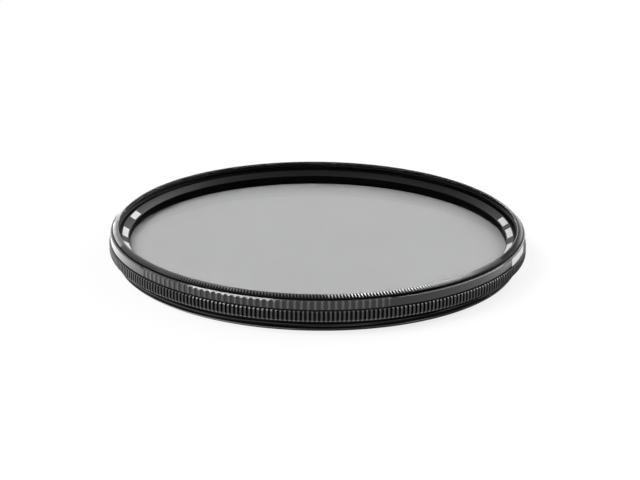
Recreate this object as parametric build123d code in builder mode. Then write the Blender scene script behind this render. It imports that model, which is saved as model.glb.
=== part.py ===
# Screw-in circular polarising filter for a 77 mm lens thread, front side up.
# Millimetres. Z is the optical axis, zero at the end of the lens thread.
import os
from math import cos, radians, sin

from build123d import *

os.makedirs("parts", exist_ok=True)

# Lens thread and the ring that carries it
thread_radius = 38.5
thread_length = 2.4
thread_end_bevel = 0.5
thread_wall = 1.1
flange_overhang = 1.5
flange_height = 2.0
bearing_step = 0.7
ledge_height = 0.1

# Straight knurl round the flange
knurl_count = 308
knurl_depth = 0.32

# Front ring that turns in the mount ring
joint_gap = 0.1
running_clearance = 0.1
axial_clearance = 0.05
band_setback = 0.25
band_height = 1.95
crown_step = 0.45
crown_slope = 0.85
crown_height = 0.65
front_thread_depth = 0.4
front_thread_length = 1.1
skirt_wall = 0.6
skirt_recess = 1.1

# Grip flutes on the band, two facing arcs
flute_count = 204
flutes_per_arc = 41
flute_arc_centres = (-107.2, 72.8)
flute_width = 0.72
flute_depth = 0.18

# Spring ring that keeps the two rings together
spring_height = 0.6
spring_bite = 0.35
spring_lift = 0.7
spring_clearance = 0.1
spring_opening = 14.0

# Glass, film and the ring that holds them
glass_thickness = 0.8
film_thickness = 0.2
glass_clearance = 0.1
seat_width = 0.7
seat_height = 0.55
clear_width = 0.5
retainer_clearance = 0.05
retainer_shelf = 0.4
retainer_slope = 0.8
retainer_wall = 1.25
retainer_flange = 0.1

# Radii
flange_radius = thread_radius + flange_overhang
bore_radius = thread_radius - thread_wall
bearing_radius = bore_radius + bearing_step
spring_outer_radius = bearing_radius + spring_bite
spring_inner_radius = bearing_radius - spring_bite
skirt_radius = bearing_radius - running_clearance
skirt_foot_radius = bore_radius - running_clearance
pocket_radius = skirt_foot_radius - skirt_wall
glass_radius = pocket_radius - glass_clearance
seat_radius = pocket_radius - seat_width
clear_radius = pocket_radius - clear_width
front_thread_radius = thread_radius - front_thread_depth
retainer_bore_radius = front_thread_radius - retainer_shelf
retainer_radius = retainer_bore_radius - retainer_clearance
band_radius = flange_radius - band_setback
crown_radius = band_radius - crown_step
crest_radius = crown_radius - crown_slope

# Heights
flange_bottom = thread_length
flange_top = flange_bottom + flange_height
ledge_top = flange_bottom + ledge_height
spring_bottom = ledge_top + spring_lift
spring_top = spring_bottom + spring_height
skirt_step = ledge_top + axial_clearance
band_bottom = flange_top + joint_gap
band_top = band_bottom + band_height
crest_top = band_top + crown_height
seat_top = skirt_recess + seat_height
rear_glass_top = seat_top + glass_thickness
film_top = rear_glass_top + film_thickness
front_glass_top = film_top + glass_thickness
retainer_inner_top = front_glass_top + retainer_wall
retainer_flange_bottom = retainer_inner_top - retainer_flange
retainer_outer_top = retainer_inner_top + retainer_slope
shoulder_top = retainer_flange_bottom - retainer_clearance
shelf_top = retainer_outer_top + retainer_clearance
mouth_bottom = shelf_top + front_thread_length


def ring_point(radius, angle):
    return (radius * cos(radians(angle)), radius * sin(radians(angle)))


def knurl_outline():
    pitch = 360 / knurl_count
    points = []
    for tooth in range(knurl_count):
        points.append(ring_point(flange_radius, tooth * pitch))
        points.append(ring_point(flange_radius - knurl_depth, (tooth + 0.5) * pitch))
    return points


# Mount ring: lens thread below, knurled flange above, bearing bore inside
with BuildPart() as mount_ring:
    core_radius = (spring_outer_radius + flange_radius - knurl_depth) / 2
    with BuildSketch(Plane.XZ):
        with BuildLine():
            Polyline(
                (bore_radius, 0),
                (thread_radius - thread_end_bevel, 0),
                (thread_radius, thread_end_bevel),
                (thread_radius, flange_bottom),
                (core_radius + knurl_depth / 2, flange_bottom),
                (core_radius + knurl_depth / 2, flange_top),
                (bearing_radius, flange_top),
                (bearing_radius, spring_top),
                (spring_outer_radius + spring_clearance / 2, spring_top),
                (spring_outer_radius + spring_clearance / 2, ledge_top),
                (bore_radius, ledge_top),
                close=True,
            )
        make_face()
    revolve(axis=Axis.Z)
    with BuildSketch(Plane.XY.offset(flange_bottom)):
        with BuildLine():
            Polyline(*knurl_outline(), close=True)
        make_face()
        Circle(core_radius, mode=Mode.SUBTRACT)
    extrude(amount=flange_height)
mount_ring.part.label = "mount_ring"
export_step(mount_ring.part, "parts/mount_ring.step")

# Spring ring: an open ring under the lip of the mount ring's bore
with BuildPart() as spring_ring:
    with BuildSketch(Plane.XY.offset(spring_bottom)):
        Circle(spring_outer_radius)
        Circle(spring_inner_radius, mode=Mode.SUBTRACT)
        with Locations(((spring_inner_radius + spring_outer_radius) / 2, 0)):
            Rectangle(4 * spring_bite, spring_opening, mode=Mode.SUBTRACT)
    extrude(amount=spring_height)
spring_ring.part.label = "spring_ring"
export_step(spring_ring.part, "parts/spring_ring.step")

# Front ring: band, crown and front thread, with a skirt that turns in the mount ring
with BuildPart() as front_ring:
    with BuildSketch(Plane.XZ):
        with BuildLine():
            Polyline(
                (skirt_foot_radius, skirt_recess),
                (skirt_foot_radius, skirt_step),
                (skirt_radius, skirt_step),
                (skirt_radius, spring_bottom - spring_clearance),
                (spring_inner_radius - spring_clearance, spring_bottom - spring_clearance),
                (spring_inner_radius - spring_clearance, spring_top + spring_clearance),
                (skirt_radius, spring_top + spring_clearance),
                (skirt_radius, band_bottom),
                (band_radius, band_bottom),
                (band_radius, band_top),
                (crown_radius, band_top),
                (crest_radius, crest_top),
                (front_thread_radius, mouth_bottom),
                (front_thread_radius, shelf_top),
                (retainer_bore_radius, shelf_top),
                (retainer_bore_radius, shoulder_top),
                (pocket_radius, shoulder_top),
                (pocket_radius, seat_top),
                (seat_radius, seat_top),
                (seat_radius, skirt_recess),
                close=True,
            )
        make_face()
    revolve(axis=Axis.Z)
    flute_pitch = 360 / flute_count
    arc_span = flute_pitch * (flutes_per_arc - 1)
    with BuildSketch(Plane.XY.offset(band_bottom)):
        for centre in flute_arc_centres:
            with PolarLocations(band_radius, flutes_per_arc, centre - arc_span / 2, arc_span, endpoint=True):
                Polygon(
                    (-flute_depth, 0),
                    (flute_depth, flute_width),
                    (flute_depth, -flute_width),
                    align=None,
                )
    extrude(amount=band_height, mode=Mode.SUBTRACT)
front_ring.part.label = "front_ring"
export_step(front_ring.part, "parts/front_ring.step")

# Retaining ring: sloped face in front, nose down on the glass
with BuildPart() as retaining_ring:
    with BuildSketch(Plane.XZ):
        with BuildLine():
            Polyline(
                (clear_radius, front_glass_top),
                (glass_radius, front_glass_top),
                (glass_radius, retainer_flange_bottom),
                (retainer_radius, retainer_flange_bottom),
                (retainer_radius, retainer_outer_top),
                (clear_radius, retainer_inner_top),
                close=True,
            )
        make_face()
    revolve(axis=Axis.Z)
retaining_ring.part.label = "retaining_ring"
export_step(retaining_ring.part, "parts/retaining_ring.step")

# Cemented stack: glass, polarising film, glass
with BuildPart() as rear_glass:
    with BuildSketch(Plane.XY.offset(seat_top)):
        Circle(glass_radius)
    extrude(amount=glass_thickness)
rear_glass.part.label = "rear_glass"
export_step(rear_glass.part, "parts/rear_glass.step")

with BuildPart() as polarizing_film:
    with BuildSketch(Plane.XY.offset(rear_glass_top)):
        Circle(glass_radius)
    extrude(amount=film_thickness)
polarizing_film.part.label = "polarizing_film"
export_step(polarizing_film.part, "parts/polarizing_film.step")

with BuildPart() as front_glass:
    with BuildSketch(Plane.XY.offset(film_top)):
        Circle(glass_radius)
    extrude(amount=glass_thickness)
front_glass.part.label = "front_glass"
export_step(front_glass.part, "parts/front_glass.step")
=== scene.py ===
import math

import bmesh
import bpy
from mathutils import Matrix, Vector


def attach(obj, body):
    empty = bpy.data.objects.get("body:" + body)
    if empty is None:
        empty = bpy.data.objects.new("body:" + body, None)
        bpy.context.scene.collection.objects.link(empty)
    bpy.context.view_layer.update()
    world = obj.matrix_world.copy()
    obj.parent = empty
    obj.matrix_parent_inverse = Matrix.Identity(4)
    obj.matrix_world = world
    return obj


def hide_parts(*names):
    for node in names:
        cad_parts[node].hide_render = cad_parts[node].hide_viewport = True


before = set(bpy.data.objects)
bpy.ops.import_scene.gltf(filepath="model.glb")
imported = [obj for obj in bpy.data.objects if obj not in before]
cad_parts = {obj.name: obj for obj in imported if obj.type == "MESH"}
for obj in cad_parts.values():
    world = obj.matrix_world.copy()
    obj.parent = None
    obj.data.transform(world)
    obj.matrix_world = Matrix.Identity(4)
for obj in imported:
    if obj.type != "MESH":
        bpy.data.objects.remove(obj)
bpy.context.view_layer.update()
scene = bpy.context.scene
mm = 0.001
halfPitch = 0.5  # from the middle of a land to the middle of a root


# small helpers for node trees

def link(tree, a, b):
    tree.links.new(a, b)


def feed(tree, socket, value):
    if isinstance(value, bpy.types.NodeSocket):
        link(tree, value, socket)
    else:
        socket.default_value = value


def mathNode(tree, operation, *values):
    node = tree.nodes.new("ShaderNodeMath")
    node.operation = operation
    for socket, value in zip(node.inputs, values):
        feed(tree, socket, value)
    return node.outputs[0]


def product(tree, *factors):
    result = factors[0]
    for factor in factors[1:]:
        result = mathNode(tree, "MULTIPLY", result, factor)
    return result


# spec: from, to, and the values there, which are 0 and 1 when left out
def ramped(tree, value, spec):
    node = tree.nodes.new("ShaderNodeMapRange")
    labels = ("Value", "From Min", "From Max", "To Min", "To Max")
    for label, number in zip(labels, (value, *spec)):
        feed(tree, node.inputs[label], number)
    return node.outputs[0]


def splitVector(tree, vector):
    node = tree.nodes.new("ShaderNodeSeparateXYZ")
    link(tree, vector, node.inputs[0])
    return node.outputs


def joinVector(tree, *values):
    node = tree.nodes.new("ShaderNodeCombineXYZ")
    for socket, value in zip(node.inputs, values):
        feed(tree, socket, value)
    return node.outputs[0]


def fromAxis(tree, x, y):
    squares = [product(tree, value, value) for value in (x, y)]
    return mathNode(tree, "SQRT", mathNode(tree, "ADD", *squares))


def newTree(name, kind, inputs, outputs):
    tree = bpy.data.node_groups.new(name, kind)
    for side, rows in (("INPUT", inputs), ("OUTPUT", outputs)):
        for label, socketKind, *value in rows:
            socket = tree.interface.new_socket(name=label, in_out=side, socket_type="NodeSocket" + socketKind)
            if value:
                socket.default_value = value[0]
    return tree, tree.nodes.new("NodeGroupInput").outputs, tree.nodes.new("NodeGroupOutput").inputs


# helpers for the geometry trees

def passed(tree, kind, geometry, values):
    node = tree.nodes.new(kind)
    link(tree, geometry, node.inputs["Geometry"])
    for label, value in values.items():
        link(tree, value, node.inputs[label])
    return node.outputs[0]


def readMark(tree, name):
    node = tree.nodes.new("GeometryNodeInputNamedAttribute")
    node.data_type = "FLOAT"
    link(tree, name, node.inputs["Name"])
    return node.outputs["Attribute"]


def finishTree(tree, geometry, given, result, place):
    moved = passed(tree, "GeometryNodeSetPosition", geometry, {"Position": place})
    whole = passed(tree, "GeometryNodeRealizeInstances", moved, {})
    painted = passed(tree, "GeometryNodeSetMaterial", whole, {"Material": given["Material"]})
    link(tree, painted, result["Geometry"])


# Geometry Nodes: straight grip teeth cut into a turned ring

def buildToothTree():
    landFlank = 0.05  # share of the flank that is painted lighter with the land, for wear and painted sheen
    tree, given, result = newTree("cutTeeth", "GeometryNodeTree", (
        ("Geometry", "Geometry"), ("Tooth Count", "Int", 300), ("Start Angle", "Float", 0.0),
        ("Tip Radius", "Float", 0.04), ("Tooth Depth", "Float", 0.0003), ("Land Share", "Float", 0.4),
        ("Root Share", "Float", 0.1), ("Roundness", "Float", 1.0), ("Mask", "String", "grip"),
        ("Bevel Mask", "String", "bevel"), ("Bevel Base", "Float", 0.006),
        ("Wear Name", "String", "gripWear"), ("Material", "Material"),
    ), (("Geometry", "Geometry"),))
    x, y, z = splitVector(tree, tree.nodes.new("GeometryNodeInputPosition").outputs[0])
    radius = fromAxis(tree, x, y)
    angle = mathNode(tree, "SUBTRACT", mathNode(tree, "ARCTAN2", y, x), given["Start Angle"])
    turns = mathNode(tree, "DIVIDE", angle, math.tau)
    phase = mathNode(tree, "PINGPONG", product(tree, turns, given["Tooth Count"]), halfPitch)
    landEnd = product(tree, given["Land Share"], halfPitch)
    rootStart = mathNode(tree, "SUBTRACT", halfPitch, product(tree, given["Root Share"], halfPitch))
    flank = ramped(tree, phase, (landEnd, rootStart))
    # a roundness over 1 bends the flank into a hollow flute
    hollow = mathNode(tree, "POWER", mathNode(tree, "SUBTRACT", 1.0, flank), given["Roundness"])
    cut = product(tree, mathNode(tree, "SUBTRACT", 1.0, hollow), given["Tooth Depth"])
    toothed = mathNode(tree, "MINIMUM", radius, mathNode(tree, "SUBTRACT", given["Tip Radius"], cut))
    mask = readMark(tree, given["Mask"])
    shaped = mathNode(tree, "MULTIPLY_ADD", mathNode(tree, "SUBTRACT", toothed, radius), mask, radius)
    scale = mathNode(tree, "DIVIDE", shaped, radius)
    # rows of the bevel are set on a 45 degree cone, so that the cut leaves scallops
    inset = mathNode(tree, "SUBTRACT", given["Tip Radius"], shaped)
    lift = mathNode(tree, "SUBTRACT", mathNode(tree, "ADD", given["Bevel Base"], inset), z)
    height = mathNode(tree, "MULTIPLY_ADD", lift, readMark(tree, given["Bevel Mask"]), z)
    place = joinVector(tree, product(tree, x, scale), product(tree, y, scale), height)
    # the lands are marked before they are cut, to be painted lighter: partly wear, partly painted sheen
    land = product(tree, mathNode(tree, "LESS_THAN", flank, landFlank), mask)
    worn = passed(tree, "GeometryNodeStoreNamedAttribute", given["Geometry"], {
        "Name": given["Wear Name"], "Value": land,
    })
    finishTree(tree, worn, given, result, place)
    return tree


# Geometry Nodes: a right-hand screw thread on a turned wall

def buildThreadTree():
    rootStart = 0.44  # in pitches from the crest
    tree, given, result = newTree("cutThread", "GeometryNodeTree", (
        ("Geometry", "Geometry"), ("Pitch", "Float", 0.00075), ("Crest Radius", "Float", 0.0385),
        ("Thread Depth", "Float", 0.0004), ("Crest Share", "Float", 0.15), ("Inside", "Bool", False),
        ("Mask", "String", "thread"), ("Material", "Material"),
    ), (("Geometry", "Geometry"),))
    x, y, z = splitVector(tree, tree.nodes.new("GeometryNodeInputPosition").outputs[0])
    radius = fromAxis(tree, x, y)
    turns = mathNode(tree, "DIVIDE", mathNode(tree, "ARCTAN2", y, x), math.tau)
    climb = mathNode(tree, "SUBTRACT", mathNode(tree, "DIVIDE", z, given["Pitch"]), turns)
    phase = mathNode(tree, "PINGPONG", climb, halfPitch)
    flank = ramped(tree, phase, (product(tree, given["Crest Share"], halfPitch), rootStart))
    cut = product(tree, flank, given["Thread Depth"])
    outer = mathNode(tree, "MINIMUM", radius, mathNode(tree, "SUBTRACT", given["Crest Radius"], cut))
    inner = mathNode(tree, "MAXIMUM", radius, mathNode(tree, "ADD", given["Crest Radius"], cut))
    pick = tree.nodes.new("GeometryNodeSwitch")
    pick.input_type = "FLOAT"
    for label, value in (("Switch", given["Inside"]), ("False", outer), ("True", inner)):
        link(tree, value, pick.inputs[label])
    change = mathNode(tree, "SUBTRACT", pick.outputs[0], radius)
    shaped = mathNode(tree, "MULTIPLY_ADD", change, readMark(tree, given["Mask"]), radius)
    scale = mathNode(tree, "DIVIDE", shaped, radius)
    place = joinVector(tree, product(tree, x, scale), product(tree, y, scale), z)
    finishTree(tree, given["Geometry"], given, result, place)
    return tree


# Geometry Nodes: one cell of a ring, repeated round the axis

def buildRepeatTree():
    tree, given, result = newTree("repeatCell", "GeometryNodeTree", (
        ("Geometry", "Geometry"), ("Cell Count", "Int", 12), ("Start Angle", "Float", 0.0),
        ("Weld Distance", "Float", 0.000002), ("Material", "Material"),
    ), (("Geometry", "Geometry"),))
    points = tree.nodes.new("GeometryNodePoints")
    link(tree, given["Cell Count"], points.inputs["Count"])
    index = tree.nodes.new("GeometryNodeInputIndex").outputs[0]
    step = mathNode(tree, "DIVIDE", math.tau, given["Cell Count"])
    angle = mathNode(tree, "MULTIPLY_ADD", index, step, given["Start Angle"])
    place = tree.nodes.new("GeometryNodeInstanceOnPoints")
    link(tree, points.outputs[0], place.inputs["Points"])
    link(tree, given["Geometry"], place.inputs["Instance"])
    link(tree, joinVector(tree, 0.0, 0.0, angle), place.inputs["Rotation"])
    whole = passed(tree, "GeometryNodeRealizeInstances", place.outputs[0], {})
    welded = passed(tree, "GeometryNodeMergeByDistance", whole, {"Distance": given["Weld Distance"]})
    painted = passed(tree, "GeometryNodeSetMaterial", welded, {"Material": given["Material"]})
    link(tree, painted, result["Geometry"])
    return tree


toothTree = buildToothTree()
threadTree = buildThreadTree()
repeatTree = buildRepeatTree()
print("trees built: teeth, thread and repeated cell")


# turned rings: a closed outline of (radius, height, tags) swept round Z

shapeTags = ("grip", "thread", "flute", "bevel")  # steer the trees, not kept in the mesh


def onRing(r, z, a):
    return (r * mm * math.cos(a), r * mm * math.sin(a), z * mm)


def tagged(points, *tags):
    return [(r, z, tags) for r, z in points]


def evenly(span, count):
    return [span[0] + (span[1] - span[0]) * i / (count - 1) for i in range(count)]


def newMesh(name, verts, faces, outward=True):
    mesh = bpy.data.meshes.new(name)
    mesh.from_pydata(verts, [], faces)
    if outward:
        faceOutward(mesh)
    return mesh


def faceOutward(mesh):
    work = bmesh.new()
    work.from_mesh(mesh)
    bmesh.ops.recalc_face_normals(work, faces=work.faces)
    work.to_mesh(mesh)
    work.free()


def addObject(name, data):
    obj = bpy.data.objects.new(name, data)
    scene.collection.objects.link(obj)
    return obj


# flutes stop at the ends of their arcs, the bevel above them fades out there
def tagShare(tag, past, fade):
    if tag == "bevel":
        return max(0.0, 1.0 - max(0.0, past) / fade)
    return 1.0 if tag != "flute" or past <= 0 else 0.0


def turnRing(name, outline, angles, arcs=(), fade=1.0):
    rows, turns = len(outline), len(angles)
    verts = [onRing(r, z, a) for r, z, tags in outline for a in angles]
    faces = []
    for i in range(rows):
        k = (i + 1) % rows
        for j in range(turns):
            n = (j + 1) % turns
            faces.append((i * turns + j, i * turns + n, k * turns + n, k * turns + j))
    mesh = newMesh(name, verts, faces)
    past = [min((abs(math.remainder(a - c, math.tau)) - h for c, h in arcs), default=0.0) for a in angles]
    for tag in sorted({t for r, z, tags in outline for t in tags}):
        shares, blank = [tagShare(tag, p, fade) for p in past], [0.0] * turns
        values = [v for r, z, tags in outline for v in (shares if tag in tags else blank)]
        mesh.attributes.new(tag, "FLOAT", "POINT").data.foreach_set("value", values)
    return addObject(name, mesh)


def useTree(obj, tree, values):
    modifier = obj.modifiers.new(tree.name, "NODES")
    modifier.node_group = tree
    for item in tree.interface.items_tree:
        if item.item_type == "SOCKET" and item.in_out == "INPUT" and item.name in values:
            modifier[item.identifier] = values[item.name]


def settle(obj, sharpDegrees=16):
    graph = bpy.context.evaluated_depsgraph_get()
    mesh = bpy.data.meshes.new_from_object(obj.evaluated_get(graph))
    old = obj.data
    obj.modifiers.clear()
    obj.data = mesh
    bpy.data.meshes.remove(old)
    mesh.name = obj.name
    for tag in [a.name for a in mesh.attributes if a.name in shapeTags]:
        mesh.attributes.remove(mesh.attributes[tag])
    mesh.shade_smooth()
    mesh.set_sharp_from_angle(angle=math.radians(sharpDegrees))
    print(obj.name, "has", len(mesh.polygons), "faces")


# helpers for the materials

def objectPlace(tree):
    return tree.nodes.new("ShaderNodeTexCoord").outputs["Object"]


def noise(tree, scale, detail):
    node = tree.nodes.new("ShaderNodeTexNoise")
    link(tree, objectPlace(tree), node.inputs["Vector"])
    feed(tree, node.inputs["Scale"], scale)
    feed(tree, node.inputs["Detail"], detail)
    return node.outputs[0]


def blend(tree, factor, a, b):
    node = tree.nodes.new("ShaderNodeMix")
    node.data_type = "RGBA"
    sockets = {socket.identifier: socket for socket in (*node.inputs, *node.outputs)}
    for label, value in (("Factor_Float", factor), ("A_Color", a), ("B_Color", b)):
        feed(tree, sockets[label], value)
    return sockets["Result_Color"]


def newMaterial(name):
    material = bpy.data.materials.new(name)
    material.use_nodes = True
    return material, material.node_tree, material.node_tree.nodes["Principled BSDF"]


# black anodised metal: grain, cloudy wear, lands painted lighter for wear and painted sheen, turning marks

anodising = {
    "grainDetail": 3.0,
    "cloud": (90.0, 4.0),  # scale and detail
    "lathe": (9000.0, 1.0),
    "wornFrom": (0.9, 1.5),  # of cloud and grain together
    "patchy": (0.8, 0.6),  # share of the grain in the rubbed lands, and the rest
    "grainRange": (0.3, 0.7),
    "coolTint": 1.05,
    "black": (0.0012, 0.0012, 0.0013, 1),
    "blackRough": 0.25,  # added where the wall is blackened
    "specular": 0.5,
    "blackSpecular": -0.38,
    "rubbedShare": 0.75,
    "relief": 0.00002,
}


def buildAnodisedGroup(p):
    group, given, result = newTree("anodisedFinish", "ShaderNodeTree", (
        ("Tone", "Color", (0.01, 0.01, 0.01, 1)), ("Worn Tone", "Color", (0.03, 0.03, 0.03, 1)),
        ("Land Tone", "Color", (0.05, 0.05, 0.05, 1)), ("Land Mask", "Float", 0.0),
        ("Grain Scale", "Float", 4000.0), ("Rough Low", "Float", 0.25), ("Rough High", "Float", 0.4),
    ), (("Color", "Color"), ("Roughness", "Float"), ("Height", "Float")))
    grain = noise(group, given["Grain Scale"], p["grainDetail"])
    cloud = noise(group, *p["cloud"])
    wear = ramped(group, mathNode(group, "ADD", cloud, grain), p["wornFrom"])
    tone = blend(group, wear, given["Tone"], given["Worn Tone"])
    # marked lands are painted lighter: wear with painted sheen on the grips, a painted highlight on the
    # crown's flanks
    patchy = mathNode(group, "MULTIPLY_ADD", grain, *p["patchy"])
    rubbed = product(group, given["Land Mask"], patchy)
    link(group, blend(group, rubbed, tone, given["Land Tone"]), result["Color"])
    rough = ramped(group, grain, (*p["grainRange"], given["Rough Low"], given["Rough High"]))
    link(group, rough, result["Roughness"])
    # fine turning marks run round the axis, over the grain
    x, y, z = splitVector(group, objectPlace(group))
    lathe = group.nodes.new("ShaderNodeTexNoise")
    lathe.noise_dimensions = "1D"
    lathe.inputs["Scale"].default_value, lathe.inputs["Detail"].default_value = p["lathe"]
    link(group, mathNode(group, "ADD", fromAxis(group, x, y), z), lathe.inputs["W"])
    link(group, mathNode(group, "ADD", grain, lathe.outputs[0]), result["Height"])
    return group


anodisedGroup = buildAnodisedGroup(anodising)


def zoneMask(tree, radius, low, high):
    x, y, z = splitVector(tree, objectPlace(tree))
    within = mathNode(tree, "LESS_THAN", fromAxis(tree, x, y), radius * mm)
    level = mathNode(tree, "COMPARE", z, (low + high) / 2 * mm, (high - low) / 2 * mm)
    return product(tree, within, level)


def anodised(name, p):
    material, tree, shader = newMaterial(name)
    finish = tree.nodes.new("ShaderNodeGroup")
    finish.node_tree = anodisedGroup
    for socket, key in (("Tone", "tone"), ("Worn Tone", "worn"), ("Land Tone", "land")):
        finish.inputs[socket].default_value = (p[key], p[key], p[key] * anodising["coolTint"], 1)
    finish.inputs["Grain Scale"].default_value = p["grain"]
    finish.inputs["Rough Low"].default_value, finish.inputs["Rough High"].default_value = p["rough"]
    # the land mask paints lands lighter: wear with painted sheen on the grips, a painted highlight on the
    # crown's flanks
    if "wear" in p:
        attribute, share = p["wear"]
        mask = tree.nodes.new("ShaderNodeAttribute")
        mask.attribute_name = attribute
        link(tree, product(tree, mask.outputs["Fac"], share), finish.inputs["Land Mask"])
    # walls that face the light path are blackened, and the neck groove is darkened as painted shade: darker,
    # and without the seal
    blackAndShade = zoneMask(tree, *p["blackenedAndShaded"][0])
    for zone in p["blackenedAndShaded"][1:]:
        blackAndShade = mathNode(tree, "MAXIMUM", blackAndShade, zoneMask(tree, *zone))
    link(tree, blend(tree, blackAndShade, finish.outputs["Color"], anodising["black"]), shader.inputs["Base Color"])
    rough = mathNode(tree, "MULTIPLY_ADD", blackAndShade, anodising["blackRough"], finish.outputs["Roughness"])
    link(tree, rough, shader.inputs["Roughness"])
    bare = blackAndShade
    if "rubbed" in p:
        rubbed = product(tree, zoneMask(tree, *p["rubbed"]), anodising["rubbedShare"])
        bare = mathNode(tree, "MAXIMUM", blackAndShade, rubbed)
    specular = mathNode(tree, "MULTIPLY_ADD", bare, anodising["blackSpecular"], anodising["specular"])
    link(tree, specular, shader.inputs["Specular IOR Level"])
    link(tree, mathNode(tree, "MULTIPLY_ADD", bare, -p["coat"], p["coat"]), shader.inputs["Coat Weight"])
    relief = tree.nodes.new("ShaderNodeBump")
    relief.inputs["Strength"].default_value = p["bump"]
    relief.inputs["Distance"].default_value = anodising["relief"]
    link(tree, finish.outputs["Height"], relief.inputs["Height"])
    link(tree, relief.outputs[0], shader.inputs["Normal"])
    for socket, key in (("IOR", "ior"), ("Coat IOR", "ior"), ("Coat Roughness", "coatRough")):
        shader.inputs[socket].default_value = p[key]
    return material


# zones are a radius and two heights: walls towards the light path are blackened, the front ring's neck groove
# is darkened as painted shade, grip walls are rubbed
frontBlack = anodised("frontBlack", {
    "tone": 0.002, "worn": 0.005, "land": 0.16, "grain": 5200, "rough": (0.12, 0.18), "bump": 0.1,
    "ior": 1.46, "coat": 1.0, "coatRough": 0.12, "wear": ("fluteWear", 0.55),
    # the second zone darkens the neck groove: painted shade
    "blackenedAndShaded": ((38.6, 2.42, 6.85), (39.55, 6.29, 6.63)),
})
# the crown's land tone is a painted highlight on the broad flank of each notch
crownBlack = anodised("crownBlack", {
    "tone": 0.002, "worn": 0.004, "land": 0.12, "grain": 5200, "rough": (0.05, 0.09), "bump": 0.02,
    "ior": 1.5, "coat": 1.0, "coatRough": 0.05, "wear": ("flankHighlight", 1.0),
    "blackenedAndShaded": ((38.0, 2.42, 6.0),),
})
mountBlack = anodised("mountBlack", {
    "tone": 0.002, "worn": 0.005, "land": 0.08, "grain": 4800, "rough": (0.16, 0.26), "bump": 0.15,
    "ior": 1.38, "coat": 1.0, "coatRough": 0.14, "wear": ("gripWear", 1.0),
    "blackenedAndShaded": ((38.6, 2.42, 5.0),), "rubbed": (41.0, 2.6, 4.19),
})
retainerBlack = anodised("retainerBlack", {
    "tone": 0.011, "worn": 0.015, "land": 0.02, "grain": 6400, "rough": (0.3, 0.4), "bump": 0.2,
    "ior": 1.3, "coat": 0.0, "coatRough": 0.14, "blackenedAndShaded": ((36.24, 0.0, 4.69),),
})


# paint, steel, glass and film: two tones in a noise, the span of the noise between them, other inputs
def toned(name, p):
    material, tree, shader = newMaterial(name)
    cloud = noise(tree, *p["noise"])
    ramp = tree.nodes.new("ShaderNodeValToRGB")
    for element, position, tone in zip(ramp.color_ramp.elements, p.get("span", (0.0, 1.0)), p["tones"]):
        element.position = position
        element.color = (*tone, 1)
    link(tree, cloud, ramp.inputs[0])
    link(tree, ramp.outputs[0], shader.inputs["Base Color"])
    if "smear" in p:
        link(tree, ramped(tree, cloud, (0.0, 1.0, 0.0, p["smear"])), shader.inputs["Roughness"])
    for socket, value in p["inputs"].items():
        shader.inputs[socket].default_value = value
    return material


markWhite = toned("markWhite", {
    "noise": (3500, 3), "tones": ((0.74, 0.74, 0.73), (0.86, 0.86, 0.85)), "span": (0.25, 0.6),
    "inputs": {"Roughness": 0.5},
})
springSteel = toned("springSteel", {
    "noise": (2600, 5), "tones": ((0.36, 0.36, 0.37), (0.62, 0.62, 0.63)),
    "inputs": {"Metallic": 1.0, "Roughness": 0.32},
})
glassClear = toned("glassClear", {
    "noise": (40, 2), "tones": ((0.975, 0.975, 0.975), (0.99, 0.99, 0.99)), "smear": 0.004,
    "inputs": {"Transmission Weight": 1.0, "IOR": 1.06},
})
filmGrey = toned("filmGrey", {
    "noise": (60, 2), "tones": ((0.49, 0.49, 0.49), (0.51, 0.51, 0.51)), "smear": 0.002,
    "inputs": {"Transmission Weight": 0.12, "IOR": 1.0},
})
print("materials built")


# mount ring: lens thread below, knurled flange above

mountRing = {
    "teeth": 308, "tip": 40.0, "toothDepth": 0.36, "land": 0.40, "root": 0.12,
    "samples": (-0.24, -0.19, 0.19, 0.24, 0.44, 0.56),  # where a tooth is sampled, in pitches
    "threadRadius": 38.5, "threadPitch": 0.75, "threadDepth": 0.42,
    "threadSpan": (0.02, 1.95), "threadRows": 21,
    "startRadius": 38.0,  # the thread's first turn is bevelled from here
    # parts of the outline, as radius and height
    "end": ((37.4, 0.1), (37.5, 0.0), (37.98, 0.0)),
    "relief": ((38.02, 1.98), (38.0, 2.4), (39.3, 2.4)),
    "grip": ((39.66, 2.4), (39.84, 2.57), (40.0, 2.74), (40.0, 4.2), (39.8, 4.4)),
    "bore": (
        (39.3, 4.4), (38.2, 4.4), (38.1, 4.3), (38.1, 3.8),
        (38.5, 3.8), (38.5, 2.5), (37.5, 2.5), (37.4, 2.4),
    ),
}


def buildMountRing(p):
    pitch = math.tau / p["teeth"]
    angles = [(tooth + s) * pitch for tooth in range(p["teeth"]) for s in p["samples"]]
    heights = evenly(p["threadSpan"], p["threadRows"])
    thread = [(min(p["threadRadius"], p["startRadius"] + z), z) for z in heights]
    outline = tagged(p["end"]) + tagged(thread, "thread") + tagged(p["relief"])
    outline += tagged(p["grip"], "grip") + tagged(p["bore"])
    ring = turnRing("mountRingTurned", outline, angles)
    useTree(ring, toothTree, {
        "Tooth Count": p["teeth"], "Start Angle": 0.0, "Tip Radius": p["tip"] * mm,
        "Tooth Depth": p["toothDepth"] * mm, "Land Share": p["land"], "Root Share": p["root"],
        "Roundness": 1.0, "Mask": "grip", "Wear Name": "gripWear", "Material": mountBlack,
    })
    useTree(ring, threadTree, {
        "Pitch": p["threadPitch"] * mm, "Crest Radius": p["threadRadius"] * mm,
        "Thread Depth": p["threadDepth"] * mm, "Inside": False, "Mask": "thread", "Material": mountBlack,
    })
    settle(ring)
    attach(ring, "mount")
    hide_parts("mount_ring")


buildMountRing(mountRing)


# front ring: smooth band with two arcs of flutes, seat of the crown, thread inside

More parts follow.
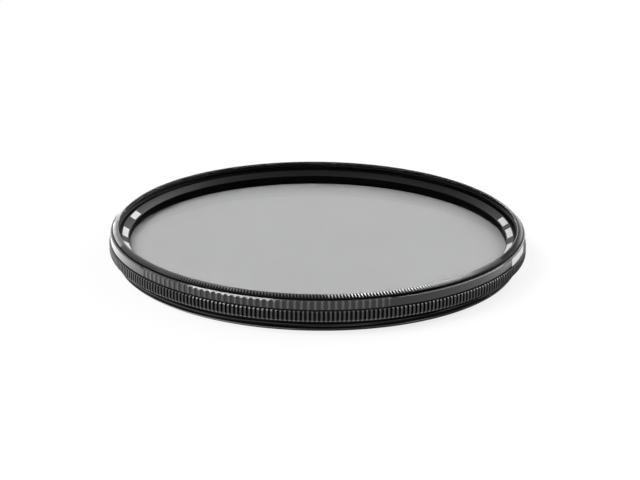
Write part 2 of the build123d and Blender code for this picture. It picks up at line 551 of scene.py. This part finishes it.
frontRing = {
    "flutes": 204, "flutesPerArc": 41, "fluteArcs": (-107.2, 72.8),
    "fluteDepth": 0.18, "fluteLand": 0.26, "fluteRoot": 0.06, "fluteRoundness": 2.0,
    "band": 39.75,
    "samples": (-0.13, 0.13, 0.2, 0.28, 0.37, 0.46, 0.54, 0.63, 0.72, 0.8),
    "plainSamples": (-0.13, 0.13, 0.38, 0.63),
    "bevelBase": 5.95,  # foot of the 45 degree bevel above the flutes
    "threadRadius": 38.1, "threadPitch": 0.75, "threadDepth": 0.36,
    "threadSpan": (6.65, 5.57), "threadRows": 13,
    # parts of the outline, as radius and height
    "skirt": (
        (36.0, 1.2), (36.1, 1.1), (37.2, 1.1), (37.3, 1.2), (37.3, 2.55), (38.0, 2.55), (38.0, 3.1),
        (37.65, 3.1), (37.65, 3.9), (38.0, 3.9), (38.0, 4.5), (39.0, 4.5), (39.02, 4.6),
    ),
    "bandFoot": ((39.66, 4.61), (39.75, 4.7)),
    "bandTop": ((39.75, 6.15), (39.65, 6.25)),
    "neck": ((39.33, 6.37), (38.92, 6.38), (38.92, 6.64), (38.28, 6.65), (38.28, 7.09), (38.22, 7.1)),
    "pocket": (
        (38.1, 5.55), (37.7, 5.55), (37.7, 4.55), (36.7, 4.55),
        (36.7, 1.65), (36.05, 1.65), (36.0, 1.6),
    ),
}


def buildFrontRing(p):
    count, perArc = p["flutes"], p["flutesPerArc"]
    pitch = math.tau / count
    start = math.radians(p["fluteArcs"][0]) - pitch / 2
    angles = []
    for unit in range(count):
        fluted = any((unit + perArc // 2 - first) % count <= perArc for first in (0, count // 2))
        angles += [start + (unit + s) * pitch for s in (p["samples"] if fluted else p["plainSamples"])]
    arcs = [(math.radians(c), pitch * perArc / 2) for c in p["fluteArcs"]]
    thread = [(p["threadRadius"], z) for z in evenly(p["threadSpan"], p["threadRows"])]
    outline = tagged(p["skirt"]) + tagged(p["bandFoot"], "flute") + tagged(p["bandTop"], "flute", "bevel")
    outline += tagged(p["neck"]) + tagged(thread, "thread") + tagged(p["pocket"])
    ring = turnRing("frontRingTurned", outline, angles, arcs, pitch)
    useTree(ring, toothTree, {
        "Tooth Count": count, "Start Angle": start, "Tip Radius": p["band"] * mm,
        "Tooth Depth": p["fluteDepth"] * mm, "Land Share": p["fluteLand"], "Root Share": p["fluteRoot"],
        "Roundness": p["fluteRoundness"], "Mask": "flute", "Bevel Mask": "bevel",
        "Bevel Base": p["bevelBase"] * mm, "Wear Name": "fluteWear", "Material": frontBlack,
    })
    useTree(ring, threadTree, {
        "Pitch": p["threadPitch"] * mm, "Crest Radius": p["threadRadius"] * mm,
        "Thread Depth": p["threadDepth"] * mm, "Inside": True, "Mask": "thread", "Material": frontBlack,
    })
    settle(ring)
    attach(ring, "front")
    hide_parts("front_ring")


buildFrontRing(frontRing)


# serrated crown round the front edge: one skewed notch in the corner of a chamfer, repeated

crown = {
    "teeth": 408,
    "tip": 39.28, "low": 6.62, "lip": 6.64, "corner": 38.52, "top": 7.1, "inner": 38.26,
    "notchFoot": 0.02,  # height from the lip to the foot of the notch
    "notchSlope": 24.3,
    "notchShare": 0.95,  # of the pitch, at the corner
    "notchSkew": 0.12,
    "sharpDegrees": 4,
}


def buildCrown(p):
    pitch = math.tau / p["teeth"]
    tip, low, lip, top, corner, inner = (p[key] for key in ("tip", "low", "lip", "top", "corner", "inner"))
    footR = tip - p["notchFoot"] * (tip - corner) / (top - lip)
    footZ = lip + p["notchFoot"]
    endR = footR - (top - footZ) / math.tan(math.radians(p["notchSlope"]))
    skew, half = p["notchSkew"], p["notchShare"] / 2
    places = [(footR, footZ, skew), (endR, top, skew), (corner, top, -half), (corner, top, half)]
    for side in (-halfPitch, 0.0, halfPitch):
        places += [(tip, low, side), (tip, lip, side), (inner, top, side), (inner, low, side)]
    places += [(corner, top, -halfPitch), (corner, top, halfPitch)]
    # foot 0, end 1, corners 2 and 3, columns from 4, 8 and 12, outer corners 16 and 17
    faces = [
        (0, 1, 2), (0, 3, 1),
        (5, 9, 0, 2, 16), (9, 13, 17, 3, 0),
        (16, 2, 1, 10, 6), (3, 17, 14, 10, 1),
        (4, 8, 9, 5), (8, 12, 13, 9),
        (6, 10, 11, 7), (10, 14, 15, 11),
        (7, 11, 8, 4), (11, 15, 12, 8),
    ]
    verts = [onRing(r, z, phase * pitch) for r, z, phase in places]
    mesh = newMesh("crownTeeth", verts, faces, outward=False)
    # the broad flank of each notch is painted lighter: a painted highlight of the light it faces
    mesh.attributes.new("flankHighlight", "FLOAT", "FACE").data[0].value = 1.0
    ring = addObject("crownTeeth", mesh)
    start = math.radians(frontRing["fluteArcs"][0])
    useTree(ring, repeatTree, {"Cell Count": p["teeth"], "Start Angle": start, "Material": crownBlack})
    settle(ring, p["sharpDegrees"])
    faceOutward(ring.data)
    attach(ring, "front")


buildCrown(crown)


# retaining ring with its sloped face

retainingRing = {
    "turns": 480,
    "sharpDegrees": 20,
    "slopeLow": (36.25, 4.72), "slopeHigh": (37.59, 5.48),  # ends of the sloped face
    "under": ((36.2, 3.45), (36.6, 3.45), (36.6, 4.6), (37.65, 4.6), (37.65, 5.44)),
    "lip": (36.2, 4.67),
}


def buildRetainingRing(p):
    angles = [math.tau * i / p["turns"] for i in range(p["turns"])]
    outline = tagged((*p["under"], p["slopeHigh"], p["slopeLow"], p["lip"]))
    ring = turnRing("retainingRingTurned", outline, angles)
    ring.data.materials.append(retainerBlack)
    settle(ring, p["sharpDegrees"])
    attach(ring, "front")
    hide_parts("retaining_ring")


buildRetainingRing(retainingRing)


# plain white bars: one on the band, a few on the sloped face

marks = {
    "bandBar": (-24.5, -12.0),  # start and end angle
    "bandHeights": (4.6, 6.14),
    "slopeBars": ((-16.0, -8.0), (-2.5, 5.0), (8.5, 14.5), (163.0, 168.5), (177.5, 185.0), (190.0, 196.0)),
    "slopeShares": (0.12, 0.9),  # across the sloped face
    "paint": 0.012,
    "stepsPerDegree": 2,
    "fewestSteps": 6,
}


def curvedPlate(name, span, ends, normal, p):
    steps = max(p["fewestSteps"], int((span[1] - span[0]) * p["stepsPerDegree"]))
    inner, outer = [], []
    for angle in evenly(span, steps + 1):
        for r, z in ends:
            for lift, store in ((0.0, inner), (p["paint"], outer)):
                store.append(onRing(r + normal[0] * lift, z + normal[1] * lift, math.radians(angle)))
    n = len(inner)
    faces = []
    for i in range(steps):
        a, b, c, d = 2 * i, 2 * i + 1, 2 * i + 3, 2 * i + 2
        faces += [(a, b, c, d), (n + d, n + c, n + b, n + a), (a, d, n + d, n + a), (c, b, n + b, n + c)]
    last = 2 * steps
    faces += [(0, n, n + 1, 1), (last, last + 1, n + last + 1, n + last)]
    mesh = newMesh(name, inner + outer, faces)
    mesh.materials.append(markWhite)
    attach(addObject(name, mesh), "front")


def buildMarks(p):
    curvedPlate("bandBar", p["bandBar"], [(frontRing["band"], z) for z in p["bandHeights"]], (1, 0), p)
    (lowR, lowZ), (highR, highZ) = retainingRing["slopeLow"], retainingRing["slopeHigh"]
    run, rise = highR - lowR, highZ - lowZ
    length = math.hypot(run, rise)
    ends = [(lowR + run * s, lowZ + rise * s) for s in p["slopeShares"]]
    for i, span in enumerate(p["slopeBars"]):
        curvedPlate(f"slopeBar{i + 1}", span, ends, (-rise / length, run / length), p)


buildMarks(marks)


# film: the sheet between the two glasses, a hair inside them

film = {"radius": 36.6, "low": 2.47, "high": 2.63, "turns": 240}


def buildFilm(p):
    radius, middle = p["radius"] * mm, (p["low"] + p["high"]) / 2 * mm
    work = bmesh.new()
    bmesh.ops.create_cone(
        work, cap_ends=True, segments=p["turns"], radius1=radius, radius2=radius,
        depth=(p["high"] - p["low"]) * mm, matrix=Matrix.Translation((0, 0, middle)),
    )
    mesh = bpy.data.meshes.new("filmSheet")
    work.to_mesh(mesh)
    work.free()
    mesh.materials.append(filmGrey)
    obj = addObject("filmSheet", mesh)
    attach(obj, "front")
    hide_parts("polarizing_film")


buildFilm(film)


def dress(node, material):
    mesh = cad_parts[node].data
    mesh.materials.clear()
    mesh.materials.append(material)


dress("front_glass", glassClear)
dress("rear_glass", glassClear)
dress("spring_ring", springSteel)
print("pieces built")


# stage: white floor that keeps its shadow, white surroundings, softboxes along arcs
# most values are ramps: from, to, and the values there

stage = {
    "floorReach": 1.5,
    "floorLevel": -0.0001,
    "floorGlow": 0.765,
    "floorCatch": 0.27,
    "floorBounce": (0.85, 0.85, 0.85, 1),
    # the floor as the polished walls see it: dim towards the camera, bright to the left
    "floorNear": (-0.05, 0.0, 0.6, 1.0),
    "floorLeft": (-0.03, -0.055, 1.0, 1.7),
    # and shaded on the right, close to the object
    "shadeSide": (0.015, 0.035, 0.0, 0.85),
    "shadeReach": (0.0458, 0.0478, 1.0, 0.0),
    # the kept shadow is weaker on the left
    "shadowSide": (-0.03, 0.02, 0.25, 1.0),
    "ambient": 0.6,
    "ceiling": (0.55, 0.85, 1.0, 0.1),  # over the sine of the elevation
    "skyRight": (0.38, 0.5, 1.0, 0.15),  # polished walls see the room darker on the right
    "skyLow": (0.18, 0.32, 0.0, 1.0),  # but not near the horizon
    # a dark flag on the left behind: normal of the plane it lies in, and its edges from that plane
    "flag": (0.861, 0.246, 0.445),
    "flagOuter": (-0.14, -0.1, 0.0, 0.7),
    "flagInner": (-0.035, -0.022, 1.0, 0.0),
    "flagBehind": (0.3, 0.4, 0.0, 1.0),
    # the film, lit through its glass: a panel behind, tilted in degrees, one overhead, and the floor
    "panelTilt": 37.0,
    "panelHeight": (0.1, 0.15, 5.0, 0.0),
    "panelSide": (0.5, 0.7, 1.0, 0.0),
    "panelBehind": (0.0, 0.05, 0.0, 1.0),
    "overhead": (-0.42, -0.1, 0.9),
    "overheadReach": (0.82, 0.9, 0.0, 1.33),
    "underfoot": (-0.02, 0.0, 1.0, 0.0),
    # directions of the corners, distance, width and power
    "softboxes": (
        # the bevel: left, right and middle
        (((-0.664, 0.022, 0.747), (-0.49, -0.19, 0.851), (-0.262, -0.317, 0.911)), 0.6, 0.07, 1.25),
        ((
            (0.452, -0.219, 0.865), (0.618, -0.056, 0.784), (0.723, 0.144, 0.676),
            (0.757, 0.358, 0.546), (0.735, 0.52, 0.43),
        ), 0.6, 0.04, 1.15),
        ((
            (-0.262, -0.317, 0.911), (0.0, -0.362, 0.932), (0.262, -0.317, 0.911), (0.452, -0.219, 0.865),
        ), 0.6, 0.07, 0.16),
        # the crown's white stretch
        (((0.378, 0.393, 0.838), (0.42, 0.463, 0.781)), 0.8, 0.07, 0.07),
        (((0.42, 0.463, 0.781), (0.453, 0.529, 0.718)), 0.8, 0.07, 0.15),
        (((0.453, 0.529, 0.718), (0.473, 0.624, 0.622), (0.467, 0.737, 0.488)), 0.8, 0.07, 0.4),
        (((0.467, 0.737, 0.488), (0.429, 0.835, 0.345)), 0.8, 0.07, 0.19),
        (((0.429, 0.835, 0.345), (0.401, 0.875, 0.271)), 0.8, 0.07, 0.045),
        # the rim's left end
        (((-0.368, 0.912, 0.18), (-0.442, 0.841, 0.312), (-0.522, 0.64, 0.565)), 0.9, 0.05, 0.16),
        (((-0.369, 0.923, 0.082), (-0.456, 0.861, 0.229)), 0.9, 0.06, 0.06),
        (((-0.456, 0.861, 0.229), (-0.522, 0.766, 0.374)), 0.9, 0.1, 0.08),
        (((-0.282, 0.958, 0.051), (-0.368, 0.912, 0.18)), 0.9, 0.05, 0.03),
        # and its right end
        (((0.609, 0.517, 0.601), (0.584, 0.66, 0.473)), 0.9, 0.05, 0.055),
        (((0.584, 0.66, 0.473), (0.549, 0.735, 0.398)), 0.9, 0.03, 0.014),
    ),
}


def seenDirectly(tree, path):
    seen = mathNode(tree, "MAXIMUM", path["Is Camera Ray"], path["Is Glossy Ray"])
    return mathNode(tree, "MAXIMUM", seen, path["Is Transmission Ray"])


def mixShaders(tree, factor, first, second):
    node = tree.nodes.new("ShaderNodeMixShader")
    for socket, value in zip(node.inputs, (factor, first, second)):
        link(tree, value, socket)
    return node.outputs[0]


def along(tree, vector, direction):
    node = tree.nodes.new("ShaderNodeVectorMath")
    node.operation = "DOT_PRODUCT"
    link(tree, vector, node.inputs[0])
    node.inputs[1].default_value = direction
    return node.outputs["Value"]


def buildFloor(p):
    reach, level = p["floorReach"], p["floorLevel"]
    corners = [(x * reach, y * reach, level) for x, y in ((-1, -1), (1, -1), (1, 1), (-1, 1))]
    mesh = newMesh("floor", corners, [(0, 1, 2, 3)], outward=False)
    floor = addObject("floor", mesh)
    material, tree, shader = newMaterial("floorWhite")
    tree.nodes.remove(shader)
    place = objectPlace(tree)
    x, y, z = splitVector(tree, place)
    path = tree.nodes.new("ShaderNodeLightPath").outputs
    away = tree.nodes.new("ShaderNodeVectorMath")
    away.operation = "LENGTH"
    link(tree, place, away.inputs[0])
    shade = product(
        tree, ramped(tree, x, p["shadeSide"]), ramped(tree, away.outputs["Value"], p["shadeReach"]))
    slope = product(
        tree, ramped(tree, y, p["floorNear"]), ramped(tree, x, p["floorLeft"]),
        mathNode(tree, "SUBTRACT", 1.0, shade))
    share = mathNode(
        tree, "MULTIPLY_ADD", path["Is Glossy Ray"], mathNode(tree, "SUBTRACT", slope, 1.0), 1.0)
    kept = ramped(tree, x, p["shadowSide"])
    # part of the white is glow, and the rest is lit, so that it can be in shadow
    glow = tree.nodes.new("ShaderNodeEmission")
    level = mathNode(tree, "MULTIPLY_ADD", kept, p["floorGlow"] - 1.0, 1.0)
    link(tree, product(tree, share, level), glow.inputs["Strength"])
    catch = tree.nodes.new("ShaderNodeBsdfDiffuse")
    grey = product(tree, kept, share, p["floorCatch"])
    link(tree, joinVector(tree, grey, grey, grey), catch.inputs["Color"])
    white = tree.nodes.new("ShaderNodeAddShader")
    link(tree, glow.outputs[0], white.inputs[0])
    link(tree, catch.outputs[0], white.inputs[1])
    bounce = tree.nodes.new("ShaderNodeBsdfDiffuse")
    bounce.inputs["Color"].default_value = p["floorBounce"]
    top = mixShaders(tree, seenDirectly(tree, path), bounce.outputs[0], white.outputs[0])
    # clear from below, so that the lens side can be seen
    facing = tree.nodes.new("ShaderNodeNewGeometry").outputs["Backfacing"]
    clear = tree.nodes.new("ShaderNodeBsdfTransparent").outputs[0]
    out = tree.nodes["Material Output"]
    link(tree, mixShaders(tree, facing, top, clear), out.inputs["Surface"])
    mesh.materials.append(material)


def buildSky(p):
    world = bpy.data.worlds.new("studioWhite")
    scene.world = world
    world.use_nodes = True
    tree = world.node_tree
    back = tree.nodes["Background"]
    back.inputs["Color"].default_value = (1, 1, 1, 1)
    place = tree.nodes.new("ShaderNodeTexCoord").outputs["Generated"]
    x, y, z = splitVector(tree, place)
    path = tree.nodes.new("ShaderNodeLightPath").outputs
    right = mathNode(tree, "SUBTRACT", ramped(tree, x, p["skyRight"]), 1.0)
    across = along(tree, place, p["flag"])
    flag = product(
        tree, ramped(tree, across, p["flagOuter"]), ramped(tree, across, p["flagInner"]),
        ramped(tree, y, p["flagBehind"]))
    dim = mathNode(tree, "SUBTRACT", product(tree, right, ramped(tree, z, p["skyLow"])), flag)
    share = mathNode(tree, "MULTIPLY_ADD", seenDirectly(tree, path), 1.0 - p["ambient"], p["ambient"])
    glossy = mathNode(tree, "MULTIPLY_ADD", path["Is Glossy Ray"], dim, 1.0)
    plain = product(tree, share, glossy, ramped(tree, z, p["ceiling"]))
    tilt = math.radians(p["panelTilt"])
    off = mathNode(tree, "ABSOLUTE", along(tree, place, (0, -math.sin(tilt), math.cos(tilt))))
    aside = mathNode(tree, "ABSOLUTE", x)
    through = product(
        tree, ramped(tree, off, p["panelHeight"]), ramped(tree, aside, p["panelSide"]),
        ramped(tree, y, p["panelBehind"]))
    upward = along(tree, place, Vector(p["overhead"]).normalized())
    for light in (ramped(tree, upward, p["overheadReach"]), ramped(tree, z, p["underfoot"])):
        through = mathNode(tree, "ADD", through, light)
    extra = mathNode(tree, "SUBTRACT", through, plain)
    strength = mathNode(tree, "MULTIPLY_ADD", path["Is Transmission Ray"], extra, plain)
    link(tree, strength, back.inputs["Strength"])


def buildSoftboxes(p):
    for i, (corners, reach, width, power) in enumerate(p["softboxes"]):
        spots = [Vector(corner).normalized() * reach for corner in corners]
        pairs = list(zip(spots, spots[1:]))
        total = sum((last - first).length for first, last in pairs)
        for k, (first, last) in enumerate(pairs):
            length = (last - first).length
            data = bpy.data.lights.new(f"softbox{i + 1}_{k + 1}", "AREA")
            data.shape = "RECTANGLE"
            data.size, data.size_y = length, width
            data.energy = power * length / total
            lamp = addObject(data.name, data)
            lamp.location = (first + last) / 2
            across = (last - first).normalized()
            facing = lamp.location.normalized()
            facing = (facing - across * facing.dot(across)).normalized()
            lamp.rotation_euler = Matrix((across, facing.cross(across), facing)).transposed().to_euler()
            lamp.visible_camera = False


buildFloor(stage)
buildSky(stage)
buildSoftboxes(stage)


# camera at the photograph's angle

lens = {
    "elevation": 19.722, "distance": 0.450, "aim": 0.0035, "roll": 0.565,
    "focal": 131.34, "sensor": 36.0, "shift": (0.0036, 0.0005), "clip": (0.01, 20.0),
}


def buildCamera(p):
    data = bpy.data.cameras.new("view")
    data.lens, data.sensor_width = p["focal"], p["sensor"]
    data.shift_x, data.shift_y = p["shift"]
    data.clip_start, data.clip_end = p["clip"]
    cam = addObject("view", data)
    tilt = math.radians(p["elevation"])
    back = Vector((0, -math.cos(tilt), math.sin(tilt)))
    cam.location = Vector((0, 0, p["aim"])) + back * p["distance"]
    turn = (-back).to_track_quat("-Z", "Y").to_matrix() @ Matrix.Rotation(math.radians(p["roll"]), 3, "Z")
    cam.rotation_euler = turn.to_euler()
    scene.camera = cam


buildCamera(lens)
scene.view_settings.view_transform = "Standard"
print("stage and camera set")
